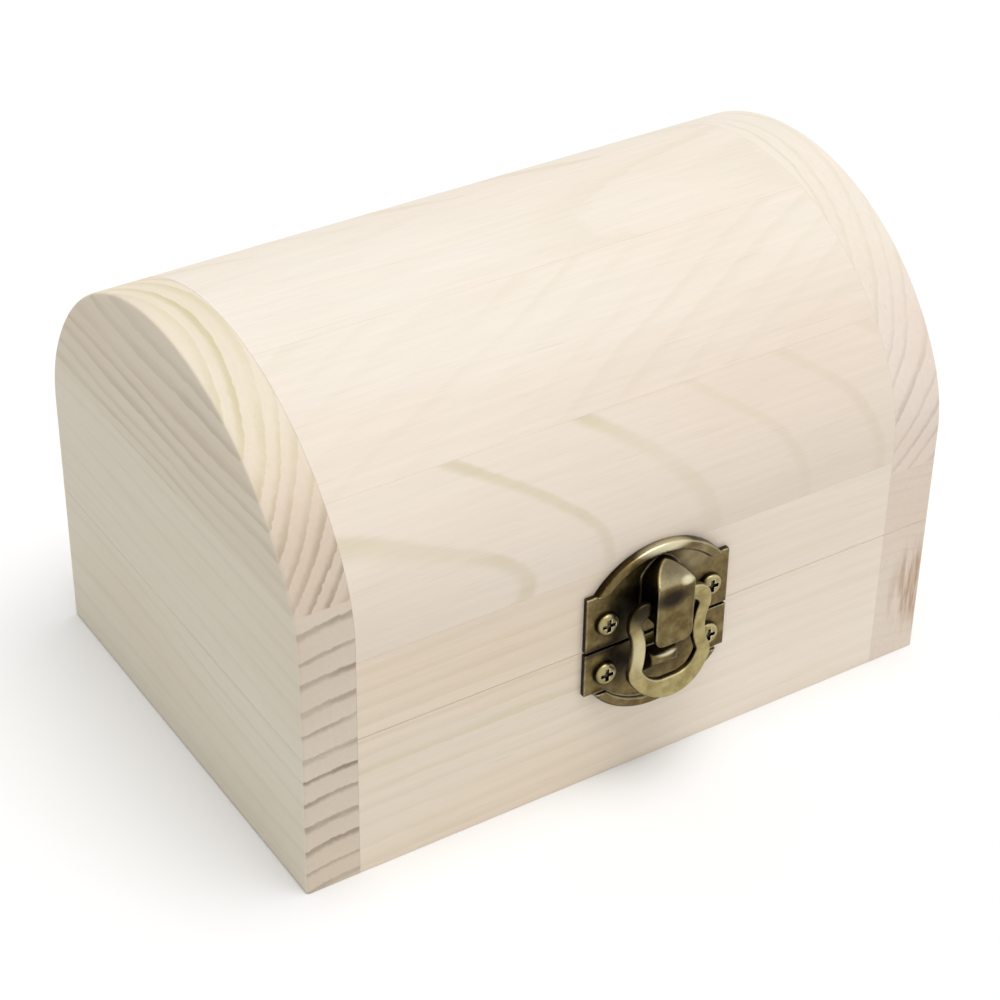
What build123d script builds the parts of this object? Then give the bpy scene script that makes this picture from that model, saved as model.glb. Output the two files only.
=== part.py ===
from build123d import *

import os
from math import atan2, cos, pi, sin, tan

os.makedirs("parts", exist_ok=True)

# A small treasure chest: a pine base, a barrel lid of staves, two butt hinges at the back and
# a hasp on the front. Millimetres. +X runs along the box, the front faces -Y and +Z is up.
# The origin is on the underside, below the middle of the box.

# Box
box_length = 120.0
box_depth = 83.5
box_height = 81.0
side_height = 44.5  # the front is straight up to here
crown_turn_share = 0.787  # how far the crown's arc turns, as a share of the most it could
seam_height = 26.9  # here the glued box is sawn into base and lid
seam_gap = 0.06
rail_height = 41.5  # top of the rails that carry the staves
stave_count = 5
end_thickness = 9.5
wall_thickness = 8.5
floor_thickness = 3.0
end_ease = 0.6  # rounding of the end panels' outer edges
joint_ease = 0.05  # the small bevel that shows each joint

# Hasp and catch plates. Heights are counted from the seam, reaches from the wood's face.
hasp_offset = 3.5  # the hasp sits a little right of the middle
plate_width = 27.2
plate_thickness = 1.0
plate_clearance = 0.25  # between each plate and the middle of the seam
hasp_ear_height = 10.7
catch_ear_height = 8.4
ear_step = 1.7  # the plate narrows by this much on each side above its ears
dome_rise = 6.0
rim_width = 1.8
rim_height = 0.7
rim_ease = 0.45

# Nose of the hasp plate, a hollow pressing that carries the loop
nose_width = 7.0
nose_top = 14.6
nose_crest_reach = 2.2  # its top runs level this far out, then slopes down to the bend
nose_bend = 11.7
nose_bottom = 0.2  # above the seam
nose_reach = 5.8
nose_thickness = 1.0
nose_bend_radius = 1.2
nose_end_radius = 1.6
nose_arch_side_share = 0.64  # the pointed arch's side bulges out to this share of its half width
nose_arch_rise_share = 0.56  # at this share of the arch's rise
cheek_thickness = 0.9
cheek_bottom = 4.8

# Loop, a pressed horseshoe that swings on its two turned-in ends
loop_width = 15.8
loop_top = 8.9
loop_bottom = 10.0  # below the seam
loop_thickness = 1.2
loop_shoulder_radius = 3.2
loop_foot_radius = 2.4
loop_foot_sag = 5.2  # its foot is one round arc, this high
loop_waist_radius = 9.0
loop_waist_end_radius = 1.5
loop_waist_depth = 0.95
loop_waist_height = 0.4
loop_arm_width = 2.45  # at the waist
loop_flare = 1.75  # the lip curves out by this much
loop_flare_start = 3.0
loop_ease = 0.3
window_width = 11.0
window_top = 6.3
window_bottom = 6.6  # below the seam
window_foot_radius = 4.3
window_shoulder_radius = 1.6
window_waist_end_radius = 0.8
pivot_height = 7.6
pivot_reach = 4.0
pivot_radius = 0.55
pivot_clearance = 0.05
pivot_anchor = 1.0  # length of the pivot inside the loop's arm
pivot_engagement = 0.75  # length of the pivot in the nose's cheek
side_clearance = 0.3

# Catch of the lower plate: a pressed tongue that stands in the loop's window
tongue_width = 5.2
tongue_top = 2.8  # below the seam
tongue_root = 8.6  # below the seam
tongue_reach = 4.2
tongue_face = 1.6  # height of its steep front face
tongue_top_radius = 0.7
tongue_crown_radius = 5.5  # its front is rounded, seen from above

# Cross-head screws of the hasp
screw_spacing = 19.8
hasp_screw_height = 5.1  # above the seam
catch_screw_height = 4.7  # below the seam
screw_head_radius = 2.0
screw_head_height = 1.0
screw_head_ease = 0.65
screw_shank_radius = 0.85
screw_length = 6.0
screw_tip_length = 1.3
screw_tip_radius = 0.2
slot_length = 2.4
slot_width = 0.75
slot_depth = 0.55
screw_clearance = 0.05

# Butt hinges
hinge_inset = 28.0  # from the box's end to the middle of each hinge
leaf_width = 16.0
leaf_height = 8.5
leaf_thickness = 0.9
leaf_corner_radius = 1.2
knuckle_count = 3
knuckle_radius = 1.5
knuckle_gap = 0.3
knuckle_room = 0.3  # between a barrel and what turns beside it
hinge_pin_radius = 0.65
hinge_pin_proud = 0.3
hinge_pin_clearance = 0.04
hinge_screw_spacing = 9.0
hinge_screw_height = 5.2
hinge_screw_scale_share = 0.8  # size of the hinge screws, as a share of the hasp's

overrun = 1.0  # every cut runs this far past what it cuts
same_place = 0.01  # two points this near count as one
facing_share = 0.5  # a face this much turned to the front is a front face

# Worked out from the above
half_depth = box_depth / 2
inside_length = box_length - 2 * end_thickness
hinge_spacing = box_length - 2 * hinge_inset
inside_depth = box_depth - 2 * wall_thickness
base_top = seam_height - seam_gap / 2
lid_bottom = seam_height + seam_gap / 2

# Outline of the arch: straight sides, two shoulder arcs and one crown arc, all tangent
arch_rise = box_height - side_height
crown_angle = crown_turn_share * 2 * atan2(arch_rise, half_depth)
crown_along, crown_up = sin(crown_angle), cos(crown_angle)
both_arcs = crown_along + crown_up - 1
shoulder_radius = (arch_rise * crown_along - half_depth * (1 - crown_up)) / both_arcs
shoulder_centre = half_depth - shoulder_radius
crown_radius = (half_depth * crown_up - arch_rise * (1 - crown_along)) / both_arcs
crown_centre = box_height - crown_radius
shoulder_end = side_height + shoulder_radius * (pi / 2 - crown_angle)
arch_middle = shoulder_end + crown_radius * crown_angle
arch_length = 2 * arch_middle


def arch_point(along, inset=0):
    """Point (y, z) of the outline, at a length along it from the front's bottom edge."""
    near = min(along, arch_length - along)
    side = -1 if along <= arch_middle else 1
    if near <= side_height:
        return side * (half_depth - inset), near
    if near <= shoulder_end:
        turn = (near - side_height) / shoulder_radius
        reach = shoulder_radius - inset
        return side * (shoulder_centre + reach * cos(turn)), side_height + reach * sin(turn)
    turn = (arch_middle - near) / crown_radius
    reach = crown_radius - inset
    return side * reach * sin(turn), crown_centre + reach * cos(turn)


def arch_edges(start, end):
    """Draw the outline from one length to another, in the line block that is open."""
    bends = [side_height, shoulder_end, arch_length - shoulder_end, arch_length - side_height]
    stops = [start] + [bend for bend in bends if start < bend < end] + [end]
    for first, last in zip(stops, stops[1:]):
        middle = (first + last) / 2
        if side_height < middle < arch_length - side_height:
            ThreePointArc(arch_point(first), arch_point(middle), arch_point(last))
        else:
            Line(arch_point(first), arch_point(last))


# Work planes: x along the box, y up from the seam, z out of the wood
front = Plane(origin=(hasp_offset, -half_depth, seam_height), x_dir=(1, 0, 0), z_dir=(0, -1, 0))
back = Plane(origin=(0, half_depth, seam_height), x_dir=(-1, 0, 0), z_dir=(0, 1, 0))
# Side view of the hasp: x out of the wood, y up from the seam
hasp_side = Plane(origin=front.origin, x_dir=(0, -1, 0), z_dir=(-1, 0, 0))


def spots(plane, places):
    """A plane at each place, which is given in the first plane's own directions."""
    return [
        Plane(origin=plane.from_local_coords(place), x_dir=plane.x_dir, z_dir=plane.z_dir)
        for place in places
    ]


def hasp_screw_places(direction):
    height = hasp_screw_height if direction > 0 else -catch_screw_height
    return [(side * screw_spacing / 2, height, 0) for side in (-1, 1)]


def hinge_screw_places(direction, hinge_sides=(-1, 1)):
    return [
        (
            hinge * hinge_spacing / 2 + side * hinge_screw_spacing / 2,
            direction * hinge_screw_height,
            0,
        )
        for hinge in hinge_sides
        for side in (-1, 1)
    ]


hinge_shank_radius = hinge_screw_scale_share * screw_shank_radius
hinge_screw_length = hinge_screw_scale_share * screw_length
hasp_pilot = (screw_shank_radius + screw_clearance, screw_length)
hinge_pilot = (hinge_shank_radius + screw_clearance, hinge_screw_length)


# Base: two ends, front and back boards between them, and a floor


def base_end(side):
    """Lower part of an end panel; side -1 is the left one."""
    with BuildPart() as panel:
        with BuildSketch(Plane.YZ.offset(side * (box_length - end_thickness) / 2)):
            Rectangle(box_depth, base_top, align=(Align.CENTER, Align.MIN))
        extrude(amount=end_thickness / 2, both=True)
        outer_first = panel.faces().sort_by(Axis.X)[:: -side]
        fillet(outer_first[0].edges().sort_by(Axis.Z)[:-1], end_ease)
        inner_first = panel.faces().sort_by(Axis.X)[::side]
        chamfer(inner_first[0].edges().filter_by(Axis.Z), joint_ease)
    return panel


def base_board(side):
    """Front board for side -1, back board for side 1, with the pilot holes of its hardware."""
    with BuildPart() as board:
        with BuildSketch(Plane.XY):
            with Locations((0, side * (box_depth - wall_thickness) / 2)):
                Rectangle(inside_length, wall_thickness)
        extrude(amount=base_top)
        outer_first = board.faces().sort_by(Axis.Y)[:: -side]
        chamfer(outer_first[0].edges().filter_by(Axis.X), joint_ease)
        if side < 0:
            with Locations(*spots(front, hasp_screw_places(-1))):
                Hole(*hasp_pilot)
        else:
            with Locations(*spots(back, hinge_screw_places(-1))):
                Hole(*hinge_pilot)
    return board


base_left_end = base_end(-1)
base_left_end.part.label = "base_left_end"
export_step(base_left_end.part, "parts/base_left_end.step")

base_right_end = base_end(1)
base_right_end.part.label = "base_right_end"
export_step(base_right_end.part, "parts/base_right_end.step")

base_front_board = base_board(-1)
base_front_board.part.label = "base_front_board"
export_step(base_front_board.part, "parts/base_front_board.step")

base_back_board = base_board(1)
base_back_board.part.label = "base_back_board"
export_step(base_back_board.part, "parts/base_back_board.step")

with BuildPart() as bottom_panel:
    with BuildSketch(Plane.XY):
        Rectangle(inside_length, inside_depth)
    extrude(amount=floor_thickness)
bottom_panel.part.label = "bottom_panel"
export_step(bottom_panel.part, "parts/bottom_panel.step")


# Lid: two arched ends, two rails and the staves between the rails


def lid_end(side):
    """Upper, arched part of an end panel; side -1 is the left one."""
    with BuildPart() as panel:
        with BuildSketch(Plane.YZ.offset(side * (box_length - end_thickness) / 2)):
            with BuildLine():
                arch_edges(lid_bottom, arch_length - lid_bottom)
                Line(arch_point(arch_length - lid_bottom), arch_point(lid_bottom))
            make_face()
        extrude(amount=end_thickness / 2, both=True)
        outer_first = panel.faces().sort_by(Axis.X)[:: -side]
        fillet(outer_first[0].edges().sort_by(Axis.Z)[1:], end_ease)
        inner_first = panel.faces().sort_by(Axis.X)[::side]
        chamfer(inner_first[0].edges().sort_by(Axis.Z)[1:], joint_ease)
    return panel


def lid_board(start, end, plane=None, places=(), pilot=None):
    """A board of the lid: arched outside, flat inside, with radial joints to its neighbours."""
    outer_corners = [arch_point(start), arch_point(end)]
    with BuildPart() as board:
        with BuildSketch(Plane.YZ):
            with BuildLine():
                arch_edges(start, end)
                Polyline(
                    arch_point(end),
                    arch_point(end, wall_thickness),
                    arch_point(start, wall_thickness),
                    arch_point(start),
                )
            make_face()
        extrude(amount=inside_length / 2, both=True)
        outer_edges = [
            edge
            for edge in board.edges().filter_by(Axis.X)
            for corner in outer_corners
            if (edge.center() - Vector(0, *corner)).length < same_place
        ]
        chamfer(outer_edges, joint_ease)
        if places:
            with Locations(*spots(plane, places)):
                Hole(*pilot)
    return board


for side, name in ((-1, "lid_left_end"), (1, "lid_right_end")):
    lid_end_panel = lid_end(side)
    lid_end_panel.part.label = name
    export_step(lid_end_panel.part, f"parts/{name}.step")

lid_front_rail = lid_board(lid_bottom, rail_height, front, hasp_screw_places(1), hasp_pilot)
lid_front_rail.part.label = "lid_front_rail"
export_step(lid_front_rail.part, "parts/lid_front_rail.step")

lid_back_rail = lid_board(
    arch_length - rail_height,
    arch_length - lid_bottom,
    back,
    hinge_screw_places(1),
    hinge_pilot,
)
lid_back_rail.part.label = "lid_back_rail"
export_step(lid_back_rail.part, "parts/lid_back_rail.step")

stave_names = ["front_lower", "front_upper", "crown", "back_upper", "back_lower"]
stave_width = (arch_length - 2 * rail_height) / stave_count
for number, name in enumerate(stave_names):
    stave_start = rail_height + number * stave_width
    lid_stave = lid_board(stave_start, stave_start + stave_width)
    lid_stave.part.label = f"lid_stave_{name}"
    export_step(lid_stave.part, f"parts/lid_stave_{name}.step")


# Screws: a rounded head with a cross, a plain shank and a point


def screw_set(plane, places, seat, scale_share=1):
    """Separate screws, whose heads rest at the seat's height above the plane."""
    head_radius = scale_share * screw_head_radius
    head_height = scale_share * screw_head_height
    shank_radius = scale_share * screw_shank_radius
    shank_length = scale_share * screw_length
    tip_length = scale_share * screw_tip_length
    slot_size = (scale_share * slot_length, scale_share * slot_width, scale_share * slot_depth)
    below = (Align.CENTER, Align.CENTER, Align.MAX)
    above = (Align.CENTER, Align.CENTER, Align.MIN)
    outward = Axis(plane.origin, plane.z_dir)
    with BuildPart() as screws:
        with Locations(*spots(plane.offset(seat), places)):
            Cylinder(head_radius, head_height, align=above)
        fillet(screws.edges().group_by(outward)[-1], scale_share * screw_head_ease)
        with Locations(*spots(plane.offset(seat + head_height), places)):
            Box(slot_size[0], slot_size[1], slot_size[2], align=below, mode=Mode.SUBTRACT)
            Box(slot_size[1], slot_size[0], slot_size[2], align=below, mode=Mode.SUBTRACT)
        with Locations(*spots(plane.offset(seat), places)):
            Cylinder(shank_radius, shank_length - tip_length, align=below)
        with Locations(*spots(plane.offset(seat - shank_length), places)):
            Cone(scale_share * screw_tip_radius, shank_radius, tip_length, align=above)
    return screws


def hasp_screws(direction, name):
    screws = screw_set(front, hasp_screw_places(direction), plate_thickness)
    screws.part.label = name
    export_step(screws.part, f"parts/{name}.step")


hasp_screws(1, "hasp_plate_screws")
hasp_screws(-1, "catch_plate_screws")

for direction, name in ((1, "hinge_lid_screws"), (-1, "hinge_base_screws")):
    hinge_screws = screw_set(
        back, hinge_screw_places(direction), leaf_thickness, hinge_screw_scale_share
    )
    hinge_screws.part.label = name
    export_step(hinge_screws.part, f"parts/{name}.step")


# Hasp: a plate on the lid with a hollow nose, and the loop that hangs from it

dome_half_width = plate_width / 2 - ear_step
dome_radius = (dome_half_width**2 + dome_rise**2) / (2 * dome_rise)


def hasp_or_catch_plate(direction, ear_height):
    """A flat plate with a raised rim round its dome and two screw holes."""
    half_width = plate_width / 2
    dome_centre = direction * (ear_height + dome_rise - dome_radius)
    near, far, top = (
        direction * height for height in (plate_clearance, ear_height, ear_height + dome_rise)
    )
    with BuildPart() as plate:
        with BuildSketch(front):
            with BuildLine():
                Polyline((-dome_half_width, far), (-half_width, far), (-half_width, near))
                Line((-half_width, near), (half_width, near))
                Polyline((half_width, near), (half_width, far), (dome_half_width, far))
                ThreePointArc((dome_half_width, far), (0, top), (-dome_half_width, far))
            make_face()
        extrude(amount=plate_thickness)
        with BuildSketch(front.offset(plate_thickness)):
            with Locations((0, dome_centre)):
                Circle(dome_radius)
                Circle(dome_radius - rim_width, mode=Mode.SUBTRACT)
            with Locations((0, direction * (ear_height + dome_rise / 2))):
                Rectangle(2 * dome_half_width, dome_rise, mode=Mode.INTERSECT)
        extrude(amount=rim_height)
        rim_top = plate.faces().sort_by(Axis.Y)[0]
        fillet(rim_top.edges().filter_by(GeomType.CIRCLE), rim_ease)
        with Locations(*spots(front, hasp_screw_places(direction))):
            Hole(screw_shank_radius + screw_clearance, plate_thickness + overrun)
    return plate


def front_rim(part):
    """The edges round the faces that look out of the wood, without those between two of them."""
    edges = [
        edge
        for face in part.faces()
        if face.normal_at().dot(front.z_dir) > facing_share
        for edge in face.edges()
    ]
    return [edge for edge in edges if sum(edge.is_same(other) for other in edges) == 1]


# The nose's side view: a level top, a slope down to the bend, then straight down in front
nose_slope = atan2(nose_top - nose_bend, nose_reach - nose_crest_reach)
nose_inner_reach = nose_reach - nose_thickness
nose_inner_top = nose_top - nose_thickness
nose_inner_crest = nose_crest_reach - nose_thickness * tan(nose_slope / 2)
nose_inner_bend = nose_bend - nose_thickness * tan((pi / 2 - nose_slope) / 2)


def nose_block(top, crest_reach, bend, reach, bottom, half_width, end_radius):
    """A solid nose: its side view, cut to a pointed arch seen from the front."""
    arch_side = nose_arch_side_share * half_width
    arch_side_height = bend + nose_arch_rise_share * (top - bend)
    with BuildPart() as block:
        with BuildSketch(hasp_side):
            with BuildLine():
                Polyline(
                    (0, top), (crest_reach, top), (reach, bend), (reach, bottom), (0, bottom),
                    close=True,
                )
            make_face()
        extrude(amount=half_width, both=True)
        bend_edge = block.edges().filter_by(Axis.X).group_by(Axis.Y)[0].sort_by(Axis.Z)[-1]
        fillet(bend_edge, nose_bend_radius)
        with BuildSketch(front) as arch:
            with BuildLine():
                ThreePointArc((-half_width, bend), (-arch_side, arch_side_height), (0, top))
                ThreePointArc((0, top), (arch_side, arch_side_height), (half_width, bend))
                Polyline(
                    (half_width, bend), (half_width, bottom), (-half_width, bottom),
                    (-half_width, bend),
                )
            make_face()
            if end_radius:
                fillet(arch.vertices().group_by(Axis.Y)[0], end_radius)
        extrude(amount=reach, mode=Mode.INTERSECT)
    return block


solid_nose = nose_block(
    nose_top, nose_crest_reach, nose_bend, nose_reach, nose_bottom, nose_width / 2, nose_end_radius
)
nose_hollow = nose_block(
    nose_inner_top, nose_inner_crest, nose_inner_bend, nose_inner_reach,
    nose_bottom - overrun, nose_width / 2 - cheek_thickness, 0,
)
with BuildPart() as nose:
    add(solid_nose.part)
    add(nose_hollow.part, mode=Mode.SUBTRACT)
    with BuildSketch(hasp_side):
        with Locations((0, cheek_bottom)):
            Rectangle(
                2 * nose_inner_reach,
                cheek_bottom - nose_bottom + overrun,
                align=(Align.CENTER, Align.MAX),
            )
    extrude(amount=nose_width / 2 + overrun, both=True, mode=Mode.SUBTRACT)
    with BuildSketch(hasp_side):
        with Locations((pivot_reach, pivot_height)):
            Circle(pivot_radius + pivot_clearance)
    extrude(amount=nose_width / 2 + overrun, both=True, mode=Mode.SUBTRACT)

plain_hasp_plate = hasp_or_catch_plate(1, hasp_ear_height)
with BuildPart() as hasp_plate:
    add(plain_hasp_plate.part)
    add(nose.part)
hasp_plate.part.label = "hasp_plate"
export_step(hasp_plate.part, "parts/hasp_plate.step")


# The loop: its outline seen from the front, cut to the side view of a strip that flares out
loop_back = pivot_reach - loop_thickness / 2
loop_front = pivot_reach + loop_thickness / 2
slot_half_width = nose_width / 2 + side_clearance
waist_reach = loop_width / 2 + loop_waist_radius - loop_waist_depth
waists = [(side * waist_reach, loop_waist_height) for side in (-1, 1)]
window_waist_radius = loop_waist_radius + loop_arm_width


def waist_ends(outline, radius):
    """The corners where an outline's waist begins and ends."""
    return [
        vertex
        for vertex in outline.vertices()
        for centre in waists
        if abs((vertex.center() - Vector(*centre)).length - radius) < same_place
    ]


with BuildPart() as hasp_loop:
    with BuildSketch(front) as loop_face:
        with BuildLine():
            half_width = loop_width / 2
            loop_foot = -loop_bottom
            Polyline(
                (-half_width, loop_foot + loop_foot_sag),
                (-half_width, loop_top),
                (half_width, loop_top),
                (half_width, loop_foot + loop_foot_sag),
            )
            ThreePointArc(
                (half_width, loop_foot + loop_foot_sag),
                (0, loop_foot),
                (-half_width, loop_foot + loop_foot_sag),
            )
        make_face()
        fillet(loop_face.vertices().group_by(Axis.Y)[-1], loop_shoulder_radius)
        fillet(loop_face.vertices().group_by(Axis.Y)[0], loop_foot_radius)
        with Locations(*waists):
            Circle(loop_waist_radius, mode=Mode.SUBTRACT)
        fillet(waist_ends(loop_face, loop_waist_radius), loop_waist_end_radius)
    extrude(amount=loop_front + loop_flare)
    with BuildSketch(front) as window:
        with Locations((0, (window_top - window_bottom) / 2)):
            Rectangle(window_width, window_top + window_bottom)
        fillet(window.vertices().group_by(Axis.Y)[-1], window_shoulder_radius)
        fillet(window.vertices().group_by(Axis.Y)[0], window_foot_radius)
        with Locations(*waists):
            Circle(window_waist_radius, mode=Mode.SUBTRACT)
        fillet(waist_ends(window, window_waist_radius), window_waist_end_radius)
        with Locations((0, window_top)):
            Rectangle(2 * slot_half_width, 2 * (loop_top - window_top) + overrun)
    extrude(amount=loop_front + loop_flare, mode=Mode.SUBTRACT)
    with BuildSketch(hasp_side):
        with BuildLine():
            front_foot = (loop_front + loop_flare, -loop_bottom)
            back_foot = (loop_back + loop_flare, -loop_bottom)
            Line((loop_front, loop_top), (loop_front, loop_flare_start))
            TangentArc((loop_front, loop_flare_start), front_foot, tangent=(0, -1))
            Line(front_foot, back_foot)
            TangentArc((loop_back, loop_flare_start), back_foot, tangent=(0, -1))
            Line((loop_back, loop_flare_start), (loop_back, loop_top))
            Line((loop_back, loop_top), (loop_front, loop_top))
        make_face()
    extrude(amount=loop_width / 2 + overrun, both=True, mode=Mode.INTERSECT)
    fillet(front_rim(hasp_loop), loop_ease)
    for side in (-1, 1):
        pivot_place = front.from_local_coords(
            (side * (slot_half_width + pivot_anchor), pivot_height, pivot_reach)
        )
        with Locations(Plane(origin=pivot_place, z_dir=(-side, 0, 0))):
            Cylinder(
                pivot_radius,
                pivot_anchor + side_clearance + pivot_engagement,
                align=(Align.CENTER, Align.CENTER, Align.MIN),
            )
hasp_loop.part.label = "hasp_loop"
export_step(hasp_loop.part, "parts/hasp_loop.step")


# The catch: a plate on the base with a tongue whose front slopes back into the plate
with BuildPart() as tongue:
    with BuildSketch(hasp_side):
        with BuildLine():
            Polyline(
                (0, -tongue_top),
                (tongue_reach, -tongue_top),
                (tongue_reach, -tongue_top - tongue_face),
                (0, -tongue_root),
                close=True,
            )
        make_face()
    extrude(amount=tongue_width / 2, both=True)
    with BuildSketch(Plane(origin=front.origin, x_dir=(1, 0, 0), z_dir=(0, 0, 1))):
        with Locations((0, tongue_crown_radius - tongue_reach)):
            Circle(tongue_crown_radius)
    extrude(amount=tongue_root + overrun, both=True, mode=Mode.INTERSECT)
    top_edge = tongue.faces().sort_by(Axis.Z)[-1].edges().sort_by(Axis.Y)[0]
    fillet(top_edge, tongue_top_radius)

plain_catch_plate = hasp_or_catch_plate(-1, catch_ear_height)
with BuildPart() as catch_plate:
    add(plain_catch_plate.part)
    add(tongue.part)
catch_plate.part.label = "catch_plate"
export_step(catch_plate.part, "parts/catch_plate.step")


# Hinges: the axis stands off the back face, so that the lid swings clear of the base
hinge_axis_reach = knuckle_radius + knuckle_room
knuckle_pitch = leaf_width / knuckle_count


def hinge_line(centre, length, radius, mode=Mode.ADD):
    """A cylinder on the hinge axis, in the part block that is open."""
    place = Plane(
        origin=(centre, half_depth + hinge_axis_reach, seam_height), z_dir=(1, 0, 0)
    )
    with Locations(place):
        Cylinder(radius, length, mode=mode)


def hinge_leaf(side, direction):
    """Leaf with its knuckles: the lid's leaf (direction 1) has the odd ones."""
    hinge_centre = side * hinge_spacing / 2
    with BuildPart() as leaf:
        with BuildSketch(back):
            with Locations((-hinge_centre, direction * leaf_height / 2)):
                Rectangle(leaf_width, leaf_height)
        extrude(amount=leaf_thickness)
        far_corners = leaf.edges().filter_by(Axis.Y).sort_by(Axis.Z)[:: -direction][:2]
        fillet(far_corners, leaf_corner_radius)
        for number in range(knuckle_count):
            centre = hinge_centre + (number - (knuckle_count - 1) / 2) * knuckle_pitch
            own = number % 2 == (1 if direction > 0 else 0)
            if own:
                hinge_line(centre, knuckle_pitch - knuckle_gap, knuckle_radius)
            else:
                hinge_line(
                    centre, knuckle_pitch, knuckle_radius + knuckle_room, Mode.SUBTRACT
                )
        hinge_line(
            hinge_centre, leaf_width + overrun, hinge_pin_radius + hinge_pin_clearance,
            Mode.SUBTRACT,
        )
        with Locations(*spots(back, hinge_screw_places(direction, (-side,)))):
            Hole(hinge_shank_radius + screw_clearance, leaf_thickness + overrun)
    return leaf


for side, side_name in ((-1, "left"), (1, "right")):
    for direction, leaf_name in ((1, "lid"), (-1, "base")):
        leaf = hinge_leaf(side, direction)
        leaf.part.label = f"hinge_{side_name}_{leaf_name}_leaf"
        export_step(leaf.part, f"parts/hinge_{side_name}_{leaf_name}_leaf.step")
    with BuildPart() as hinge_pin:
        hinge_line(side * hinge_spacing / 2, leaf_width + 2 * hinge_pin_proud, hinge_pin_radius)
        chamfer(hinge_pin.edges().filter_by(GeomType.CIRCLE), hinge_pin_proud / 2)
    hinge_pin.part.label = f"hinge_{side_name}_pin"
    export_step(hinge_pin.part, f"parts/hinge_{side_name}_pin.step")
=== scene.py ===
from math import cos, pi, radians, sin

import bpy
from bpy.props import FloatProperty, FloatVectorProperty, PointerProperty
from bpy.types import Operator, Panel, PropertyGroup
from mathutils import Matrix, Vector


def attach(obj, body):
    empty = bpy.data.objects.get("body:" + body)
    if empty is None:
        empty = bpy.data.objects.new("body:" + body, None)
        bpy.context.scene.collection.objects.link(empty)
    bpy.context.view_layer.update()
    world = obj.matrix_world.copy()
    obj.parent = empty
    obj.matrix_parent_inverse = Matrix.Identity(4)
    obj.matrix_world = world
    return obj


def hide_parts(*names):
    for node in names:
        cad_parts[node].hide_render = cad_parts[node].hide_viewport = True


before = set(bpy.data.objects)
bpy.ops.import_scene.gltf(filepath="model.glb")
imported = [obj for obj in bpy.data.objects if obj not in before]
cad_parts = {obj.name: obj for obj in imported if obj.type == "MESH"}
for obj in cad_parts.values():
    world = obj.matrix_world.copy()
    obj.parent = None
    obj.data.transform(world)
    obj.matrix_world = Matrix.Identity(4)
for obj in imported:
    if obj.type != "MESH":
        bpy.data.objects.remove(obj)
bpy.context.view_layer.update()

bl_info = {
    "name": "Treasure chest box",
    "version": (1, 0, 0),
    "blender": (4, 5, 0),
    "location": "View3D > Sidebar > Treasure chest",
    "description": "Gives a small pine treasure chest its wood, its bronze hasp and a plain stage",
    "category": "Object",
}

MM = 0.001
PER_METRE = 1000.0  # millimetres in a metre, for the sizes inside the materials

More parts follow.
